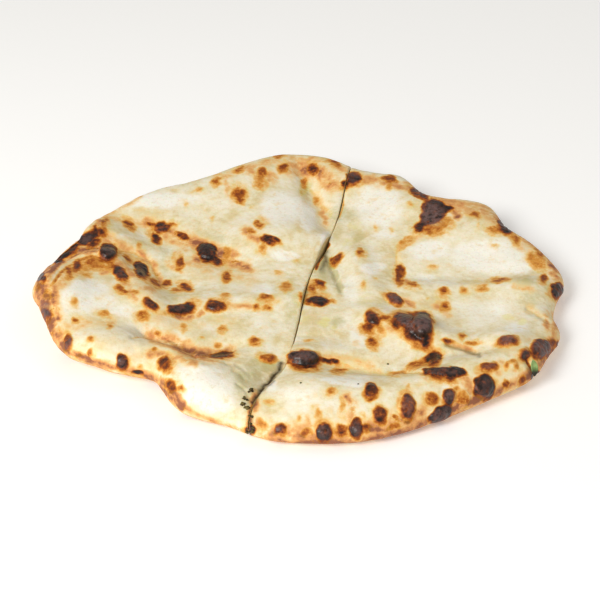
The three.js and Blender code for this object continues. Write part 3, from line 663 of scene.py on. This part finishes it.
def photo_marks(places):
    """How the skin is coloured at each place."""
    return {
        "scorch_and_shade": spot_heat(places),
        "toast_and_shade": bands(places, TOAST_AND_SHADE_BANDS),
        "shade": bands(places, SHADES),
        "yellow": patches(places, YELLOW),
        "olive": patches(places, OLIVE),
        "flour_and_light": patches(places, FLOUR_AND_LIGHT_PATCHES),
    }


SETTLE_ROUNDS = 3
SHOWN_FACING = (-0.15, 0.03)  # the skin that the photograph shows, by how much it faces the camera
# heat that a crease's brown stands for; the brown is partly painted shade
CREASE_BROWN_AND_SHADE_HEAT = 0.75
HIDDEN_TOAST = 0.5
UNDER_RIM_TOAST_AND_SHADE = 0.7  # the rim is browner where it turns under: toasting, and painted shade
UNDER_RIM_FACING = (0.1, 0.5)  # from full to none, by how much the skin faces the camera and up
CLOSING = 0.22 * MM  # how far the skin beside the cut leans towards the other half
CLOSING_REACH = 3 * MM
OVER_TABLE = 0.02 * MM
# The skin's lips beside the cut are darker tan: painted shade along the cut.
CUT_LIP_SHADE = 0.3
CUT_LIP_SHADE_REACH = 1.3 * MM


def dressed(points, normals, share, from_cut, side):
    """The skin with its relief, and its fields. Marks stay at their photo places as it rises."""
    facing = normals @ -np.array(VIEW_BACK)
    shown = share * smooth(*SHOWN_FACING, facing)
    hidden = share - shown
    out = normals.copy()
    out[:, :2] *= smooth(0, CUT_MARGIN, from_cut)[:, None]
    bumps, spots = stray(points, *BUMP_WAVES), stray(points, *SPOT_WAVES)
    moved = points
    for _ in range(SETTLE_ROUNDS):
        lift, ash_and_sheen, brown = relief(photo_places(moved) + bumps)
        lift = lift * shown
        moved = (moved + points + out * lift[:, None]) / 2
    marks = photo_marks(photo_places(moved) + spots)
    marks["ash_and_sheen"] = ash_and_sheen
    # a crease's brown, partly painted shade, darkens the skin like heat
    marks["scorch_and_shade"] = np.maximum(marks["scorch_and_shade"], CREASE_BROWN_AND_SHADE_HEAT * brown)
    for name in marks:
        marks[name] = marks[name] * shown
    marks["scorch_and_shade"] = np.maximum(marks["scorch_and_shade"], hidden_heat(points) * hidden)
    # painted shade on the lips of the cut
    by_cut = CUT_LIP_SHADE * shown * (1 - smooth(0, CUT_LIP_SHADE_REACH, from_cut))
    # where the rim turns under it is browner: toasting, and painted shade
    turned = (1 - smooth(*UNDER_RIM_FACING, facing)) * (1 - smooth(*UNDER_RIM_FACING, normals[:, 2]))
    under_rim = UNDER_RIM_TOAST_AND_SHADE * turned * shown * smooth(0, CUT_MARGIN, from_cut)
    marks["toast_and_shade"] = np.maximum(marks["toast_and_shade"], by_cut) + HIDDEN_TOAST * hidden
    marks["toast_and_shade"] = np.maximum(marks["toast_and_shade"], under_rim)
    marks["inside"] = 1 - share

    grown = lift + LUMPS * noise_at(points, LUMP_GRAIN, seed=1)
    grown += PIMPLES * noise_at(points, PIMPLE_GRAIN, seed=2)
    rough = smooth(*CRACKLE_HEAT, marks["scorch_and_shade"])
    grown += rough * CRACKLE * noise_at(points, CRACKLE_GRAIN, seed=5)
    grown_points = points + out * (grown * share)[:, None]
    grown_points[:, 0] += side * CLOSING * (1 - smooth(0, CLOSING_REACH, from_cut))
    grown_points[:, 2] = np.maximum(grown_points[:, 2], OVER_TABLE)
    return grown_points, marks


def add_piece(mesh, name, material, slot, *nodes):
    """Puts a finished mesh into the scene, in place of the nodes."""
    piece = bpy.data.objects.new(name, mesh)
    bpy.context.scene.collection.objects.link(piece)
    mesh.materials.clear()
    mesh.materials.append(material)
    mesh.polygons.foreach_set("use_smooth", [True] * len(mesh.polygons))
    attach(piece, "root")
    if nodes:
        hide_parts(*nodes)
    return piece


def bread_half(side, material):
    """One half's dough, with everything that the oven did to it, and its painted light and shade."""
    mesh = smooth_copy(f"{side}_half", f"bread_{side}")
    points, normals = vertex_arrays(mesh)
    places = photo_places(points)
    marked = (spot_heat(places) > FINE_HEAT) | (abs(relief(places)[0]) > FINE_RELIEF)
    refine(mesh, marked & (normals[:, 2] > FINE_FACING) & (skin_share(mesh) > 0))

    points, normals = vertex_arrays(mesh)
    share = skin_share(mesh)
    from_cut = distance_to(points, points[share == 0])
    moved, marks = dressed(points, normals, share, from_cut, SIDES[side])
    mesh.vertices.foreach_set("co", moved.ravel())
    for name, values in marks.items():
        layer = mesh.attributes.new(name, "FLOAT", "POINT")
        layer.data.foreach_set("value", values)
    mesh.polygons.foreach_set("material_index", [0] * len(mesh.polygons))
    mesh.update()
    return add_piece(mesh, f"bread_{side}", material, "dough", f"{side}_half")


# ---- materials ----


def srgb(red, green, blue):
    """The linear colour of one that a picture stores as 0 to 255."""
    values = []
    for value in (red, green, blue):
        share = value / 255
        values.append(share / 12.92 if share < 0.04045 else ((share + 0.055) / 1.055) ** 2.4)
    return (*values, 1)


class Nodes:
    """Short calls for building a material."""

    def __init__(self, name):
        self.material = bpy.data.materials.new(name)
        self.material.use_nodes = True
        self.tree = self.material.node_tree
        self.shader = self.tree.nodes["Principled BSDF"]
        self.place = self.add("ShaderNodeTexCoord").outputs["Object"]

    def add(self, kind, **settings):
        node = self.tree.nodes.new(kind)
        for key, value in settings.items():
            setattr(node, key, value)
        return node

    def set(self, socket, value):
        if isinstance(value, bpy.types.NodeSocket):
            self.tree.links.new(value, socket)
        else:
            socket.default_value = value

    def field(self, name):
        return self.add("ShaderNodeAttribute", attribute_name=name).outputs["Fac"]

    def noise(self, grain, detail, rough=0.5):
        node = self.add("ShaderNodeTexNoise")
        self.set(node.inputs["Vector"], self.place)
        self.set(node.inputs["Scale"], 1 / grain)
        self.set(node.inputs["Detail"], detail)
        self.set(node.inputs["Roughness"], rough)
        return node.outputs["Fac"]

    def math(self, operation, first, second, clamp=False):
        node = self.add("ShaderNodeMath", operation=operation, use_clamp=clamp)
        self.set(node.inputs[0], first)
        self.set(node.inputs[1], second)
        return node.outputs[0]

    def wave(self, grain, detail, rough=0.5):
        """Noise that swings about 0."""
        return self.math("SUBTRACT", self.noise(grain, detail, rough), 0.5)

    def weighed(self, *waves):
        """The sum of waves, each given with its weight."""
        terms = [self.math("MULTIPLY", wave, weight) for wave, weight in waves]
        total = terms[0]
        for term in terms[1:]:
            total = self.math("ADD", total, term)
        return total

    def varied(self, name, wave):
        """A field that a wave makes stronger and weaker."""
        return self.math("MULTIPLY", self.field(name), self.math("ADD", wave, 1.0))

    def steps(self, value, low, high, out_low=0.0, out_high=1.0):
        node = self.add("ShaderNodeMapRange", interpolation_type="SMOOTHSTEP")
        for socket, setting in zip(node.inputs, (value, low, high, out_low, out_high)):
            self.set(socket, setting)
        return node.outputs[0]

    def mix(self, share, first, second, blend="MIX"):
        node = self.add("ShaderNodeMix", data_type="RGBA", blend_type=blend)
        self.set(node.inputs["Factor"], share)
        self.set(node.inputs["A"], first)
        self.set(node.inputs["B"], second)
        return node.outputs["Result"]

    def ramp(self, value, stops):
        node = self.add("ShaderNodeValToRGB")
        self.set(node.inputs[0], value)
        points = node.color_ramp.elements
        points.remove(points[1])
        points[0].position, points[0].color = stops[0]
        for place, colour in stops[1:]:
            points.new(place).color = colour
        return node.outputs["Color"]

    def bump(self, height, distance, strength=1.0, under=None):
        node = self.add("ShaderNodeBump")
        self.set(node.inputs["Height"], height)
        self.set(node.inputs["Distance"], distance)
        self.set(node.inputs["Strength"], strength)
        if under is not None:
            self.set(node.inputs["Normal"], under)
        return node.outputs["Normal"]

    def finish(self, **values):
        for name, value in values.items():
            self.set(self.shader.inputs[name.replace("_", " ")], value)
        return self.material


# From pale gold to black, as the dough burns, and for the painted shade in creases and at the
# backs of spots.
BURN_STOPS = [
    (0.06, srgb(244, 226, 180)),
    (0.22, srgb(238, 198, 124)),
    (0.38, srgb(216, 148, 58)),
    (0.54, srgb(172, 92, 12)),
    (0.68, srgb(126, 56, 4)),
    (0.82, srgb(78, 34, 10)),
    (1.00, srgb(30, 18, 14)),
]

# From dry cream to brown, as its rim and ridges toast, and for the painted shade in valleys and
# folds.
TOAST_STOPS = [
    (0.00, srgb(243, 230, 192)),
    (0.28, srgb(240, 210, 150)),
    (0.48, srgb(234, 186, 116)),
    (0.72, srgb(214, 148, 86)),
    (1.00, srgb(150, 92, 62)),
]


# The dough as it is where no heat marks it, from its light to its dark places.
CREAM_STOPS = [
    (0.34, srgb(242, 235, 215)),
    (0.50, srgb(235, 224, 191)),
    (0.64, srgb(223, 204, 154)),
]
# white of dry flour, and painted light on the lit bulges and slopes
FLOUR_AND_LIGHT_WHITE = srgb(249, 247, 238)
SPECK_TAN = srgb(214, 190, 138)
FRECKLE_GOLD = srgb(234, 204, 142)
THIN_YELLOW = srgb(234, 224, 144)
# olive: a tint of the dough, and painted shade in valleys and beside the cut
OLIVE_TINT_AND_SHADE = srgb(192, 182, 126)
# grey of ashes, and a painted sheen on the charred blisters
ASH_AND_SHEEN_GREY = srgb(122, 94, 90)
# painted shadow for the mouth of the cut and the folds
PAINTED_SHADOW_BROWN = srgb(66, 52, 24)
INSIDE_LIGHT = srgb(226, 208, 158)
INSIDE_DARK = srgb(196, 170, 110)


def pale_skin(n, middle):
    """Unburnt dough: cream, with floury white that is partly painted light, specks and freckles,
    thin places, and olive places that are partly painted shade.
    """
    pale = n.ramp(n.weighed((n.noise(11 * MM, 5, 0.65), 1.0), (middle, 0.35)), CREAM_STOPS)
    # whiter: dry flour, and painted light on the lit bulges and slopes
    floured_and_lit = n.steps(n.math("ADD", n.field("flour_and_light"), middle), 0.15, 0.8, 0.0, 0.8)
    specks = n.steps(n.noise(1.6 * MM, 3, 0.7), 0.52, 0.72, 0.0, 0.35)
    freckles = n.steps(n.noise(5 * MM, 4, 0.6), 0.54, 0.72, 0.0, 0.5)
    thin = n.steps(n.math("ADD", n.field("yellow"), middle), 0.15, 0.75, 0.0, 0.6)
    # olive: a tint, and painted shade in valleys and beside the cut
    olive_and_shade = n.steps(n.math("ADD", n.field("olive"), middle), 0.0, 1.0, 0.0, 0.75)
    pale = n.mix(floured_and_lit, pale, FLOUR_AND_LIGHT_WHITE)
    pale = n.mix(specks, pale, SPECK_TAN)
    pale = n.mix(freckles, pale, FRECKLE_GOLD)
    pale = n.mix(thin, pale, THIN_YELLOW)
    return n.mix(olive_and_shade, pale, OLIVE_TINT_AND_SHADE)


def skin_heat(n, middle, fine):
    """How hot the skin got: its charred spots, partly painted shade at their backs and in creases,
    and blotches on its bands of toasting and painted shade.
    """
    # spots and creases, with their painted shade
    scorched_and_shaded = n.varied("scorch_and_shade", n.weighed((middle, 1.5), (fine, 0.45)))
    # blotches also fall on the bands of painted shade
    toast_and_shade_share = n.steps(n.field("toast_and_shade"), 0.3, 0.8)
    blotches = n.steps(n.noise(3.8 * MM, 4, 0.6), 0.42, 0.74, 0.0, 0.56)
    return n.math("MAXIMUM", scorched_and_shaded, n.math("MULTIPLY", toast_and_shade_share, blotches))


def dough_material():
    n = Nodes("dough")
    fine = n.wave(0.9 * MM, 3)
    middle = n.wave(2.6 * MM, 4, 0.6)
    coarse = n.wave(7 * MM, 3)

    # toasting, and painted shade in valleys and on the shaded sides of ridges
    toast_and_shade = n.varied("toast_and_shade", n.weighed((coarse, 2.2), (middle, 1.3), (fine, 0.3)))
    skin = n.mix(n.steps(toast_and_shade, 0.0, 0.6), pale_skin(n, middle), n.ramp(toast_and_shade, TOAST_STOPS))
    heat = skin_heat(n, middle, fine)
    skin = n.mix(n.steps(heat, 0.0, 0.3), skin, n.ramp(heat, BURN_STOPS), "DARKEN")
    # grey on blisters: ashes, and a painted sheen
    ash_and_sheen_share = n.math("MULTIPLY", n.field("ash_and_sheen"), n.steps(n.noise(2.5 * MM, 4, 0.65), 0.32, 0.6))
    skin = n.mix(n.math("MULTIPLY", ash_and_sheen_share, 0.6, clamp=True), skin, ASH_AND_SHEEN_GREY)
    # painted shadow in the mouth of the cut and in folds
    deep = n.math("MULTIPLY", n.field("shade"), n.math("ADD", middle, 1.1), clamp=True)
    skin = n.mix(deep, skin, PAINTED_SHADOW_BROWN)
    inside = n.mix(n.noise(1.5 * MM, 3), INSIDE_LIGHT, INSIDE_DARK)
    colour = n.mix(n.steps(n.field("inside"), 0.3, 0.9), skin, inside)

    grain = n.bump(n.noise(0.55 * MM, 3), 0.10 * MM, 0.7)
    wrinkles = n.bump(n.noise(2.4 * MM, 4, 0.6), 0.35 * MM, 0.6, grain)
    roughness = n.steps(heat, 0.5, 0.95, 0.65, 0.34)
    return n.finish(
        Base_Color=colour, Roughness=roughness, Normal=wrinkles, Specular_IOR_Level=0.35,
        Subsurface_Weight=0.12, Subsurface_Scale=4 * MM,
    )


def filling_material():
    n = Nodes("filling")
    mash = n.mix(n.noise(2 * MM, 4), srgb(222, 200, 128), srgb(186, 158, 84))
    herb = n.steps(n.noise(1.3 * MM, 2), 0.62, 0.68)
    mash = n.mix(herb, mash, srgb(84, 96, 40))
    spice = n.steps(n.noise(0.9 * MM, 1), 0.7, 0.74)
    mash = n.mix(spice, mash, srgb(70, 40, 22))
    return n.finish(Base_Color=mash, Roughness=0.7, Normal=n.bump(n.noise(0.8 * MM, 3), 0.3 * MM))


def crumb_material():
    n = Nodes("herb_crumb")
    tone = n.steps(n.noise(1.2 * MM, 3), 0.35, 0.65)
    dark = n.mix(tone, srgb(52, 40, 24), srgb(112, 98, 52))
    return n.finish(
        Base_Color=dark, Roughness=0.8, Specular_IOR_Level=0.2,
        Normal=n.bump(n.noise(0.5 * MM, 2), 0.15 * MM),
    )


def leaf_material():
    n = Nodes("leaf")
    tone = n.steps(n.noise(1.5 * MM, 3), 0.3, 0.7)
    green = n.mix(tone, srgb(160, 186, 118), srgb(112, 142, 74))
    # darker lower end: char, and painted shade of the crevice it pokes from
    charred_and_shaded = n.mix(n.field("scorch_and_shade"), green, srgb(44, 40, 22))
    return n.finish(Base_Color=charred_and_shaded, Roughness=0.5, Normal=n.bump(n.noise(0.7 * MM, 2), 0.1 * MM))


# ---- the other pieces ----

FILLING_CRUMBLE = 0.22 * MM
FILLING_GRAIN = 1.8 * MM
FILLING_SHRINK = 0.3  # share of its crumble by which it keeps clear of the dough


def filling(side, material):
    """One half's filling layer, with an uneven, crumbly face."""
    mesh = smooth_copy(f"filling_{side}", f"stuffing_{side}")
    points, normals = vertex_arrays(mesh)
    crumble = FILLING_CRUMBLE * (noise_at(points, FILLING_GRAIN, seed=6) - FILLING_SHRINK)
    mesh.vertices.foreach_set("co", (points + normals * crumble[:, None]).ravel())
    return add_piece(mesh, f"stuffing_{side}", material, "filling", f"filling_{side}")


LEAF_DARK_FROM = (367, 373)  # where its lower end darkens, char and painted crevice shade, in pixels of the photograph


def leaf(material):
    """The scrap of herb leaf in the rim."""
    mesh = smooth_copy("herb_leaf", "leaf_scrap")
    down = photo_places(vertex_arrays(mesh)[0])[:, 1]
    layer = mesh.attributes.new("scorch_and_shade", "FLOAT", "POINT")
    layer.data.foreach_set("value", smooth(*LEAF_DARK_FROM, down))
    return add_piece(mesh, "leaf_scrap", material, "herb", "herb_leaf")


CRUMB_GRAIN = 0.6 * MM
CRUMB_LEVELS = 3
CRUMB_SWELL = 0.8
CRUMB_FLATNESS = 0.7
CRUMB_LIFT = 0.15  # share of its size by which a crumb's middle is above the skin


def crumbs(breads, material):
    """Uneven crumbs that lie where the picture shows them."""
    view = bpy.context.evaluated_depsgraph_get()
    trees = [BVHTree.FromObject(bread, view) for bread in breads]
    heap = bmesh.new()
    for index, (x, y, size) in enumerate(CRUMBS):
        ray = photo_ray(x, y)
        hits = [tree.ray_cast(CAMERA_PLACE, ray) for tree in trees]
        found = [hit for hit in hits if hit[0] is not None]
        place, normal, _, _ = min(found, key=lambda hit: hit[3])
        ball = bmesh.ops.create_icosphere(heap, subdivisions=CRUMB_LEVELS, radius=size * MM / 2)
        for vert in ball["verts"]:
            swell = noise.noise(vert.co / CRUMB_GRAIN + Vector((index, 0, 0)))
            vert.co *= 1 + CRUMB_SWELL * swell
            vert.co.z *= CRUMB_FLATNESS
            vert.co += place + normal * (CRUMB_LIFT * size * MM)
    mesh = bpy.data.meshes.new("herb_crumbs")
    heap.to_mesh(mesh)
    heap.free()
    return add_piece(mesh, "herb_crumbs", material, "herb")


# ---- camera, floor and light ----


def make_camera():
    """The photograph's view."""
    data = bpy.data.cameras.new("camera")
    data.lens = CAMERA_LENS
    data.sensor_width = CAMERA_SENSOR
    data.clip_start = 0.01
    camera = bpy.data.objects.new("camera", data)
    camera.location = CAMERA_PLACE
    camera.rotation_euler = (math.pi / 2 - CAMERA_ELEVATION, 0, 0)
    bpy.context.scene.collection.objects.link(camera)
    bpy.context.scene.camera = camera


def make_floor():
    """The white ground that the bread lies on."""
    n = Nodes("floor")
    material = n.finish(
        Base_Color=(0.92, 0.92, 0.92, 1), Roughness=0.8,
        Emission_Color=(1, 1, 1, 1), Emission_Strength=0.18,
    )
    mesh = bpy.data.meshes.new("floor")
    reach = 3  # metres
    corners = [(-reach, -reach, 0), (reach, -reach, 0), (reach, reach, 0), (-reach, reach, 0)]
    mesh.from_pydata(corners, [], [(0, 1, 2, 3)])
    mesh.materials.append(material)
    floor = bpy.data.objects.new("floor", mesh)
    bpy.context.scene.collection.objects.link(floor)


def area_light(name, place, size, power, colour):
    """A square lamp that shines on the bread."""
    data = bpy.data.lights.new(name, "AREA")
    data.size = size
    data.energy = power
    data.color = colour
    lamp = bpy.data.objects.new(name, data)
    lamp.location = place
    lamp.rotation_euler = (-Vector(place)).to_track_quat("-Z", "Y").to_euler()
    bpy.context.scene.collection.objects.link(lamp)


def make_light():
    """A soft key light from the front left, a weak one from the right, and a warm sky."""
    area_light("key", place=(-0.6, -0.75, 0.7), size=0.45, power=11.5, colour=(1, 0.99, 0.96))
    area_light("fill", place=(0.9, 0.3, 0.9), size=0.9, power=1.5, colour=(1, 0.98, 0.95))
    world = bpy.data.worlds.new("studio")
    world.use_nodes = True
    sky = world.node_tree.nodes["Background"]
    sky.inputs["Color"].default_value = (1, 0.97, 0.91, 1)
    sky.inputs["Strength"].default_value = 0.42
    bpy.context.scene.world = world
    bpy.context.scene.view_settings.view_transform = "Standard"


make_camera()
dough = dough_material()
stuffing = filling_material()
breads = [bread_half(side, dough) for side in SIDES]
for side in SIDES:
    filling(side, stuffing)
leaf(leaf_material())
crumbs(breads, crumb_material())
make_floor()
make_light()
